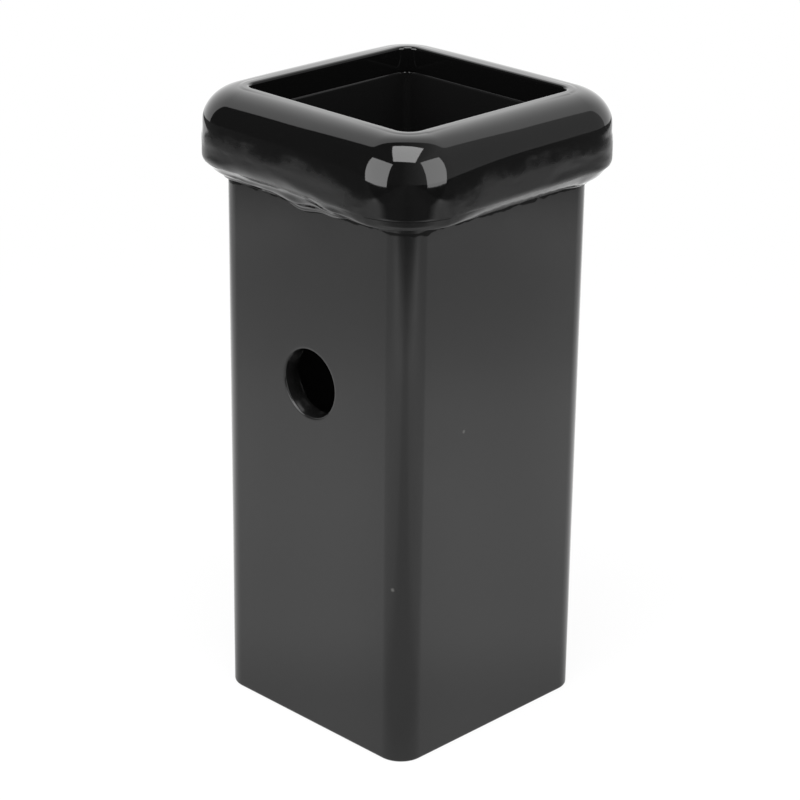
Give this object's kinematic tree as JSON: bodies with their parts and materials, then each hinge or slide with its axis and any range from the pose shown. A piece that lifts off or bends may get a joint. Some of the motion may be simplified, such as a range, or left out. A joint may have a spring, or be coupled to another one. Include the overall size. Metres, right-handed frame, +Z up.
{
  "type": "hitch receiver tube",
  "caption": "Square steel sleeve with a rounded welded collar at its mouth and a cross hole for a hitch pin, finished in gloss black.",
  "frame": {"origin": "centre of the tube's lower end, on the surface that it stands on", "axes": "+Z up along the tube towards the collar and its mouth; the cross hole for the pin runs along Y"},
  "size_m": [0.0776, 0.0776, 0.1562],
  "materials": {
    "tube_paint": "semi-gloss black paint",
    "collar_paint": "gloss black paint",
    "weld_paint": "gloss black paint over rough weld"
  },
  "bodies": {
    "root": {"tube": "tube_paint", "collar": "collar_paint", "weld_bead": "weld_paint"}
  },
  "joints": []
}
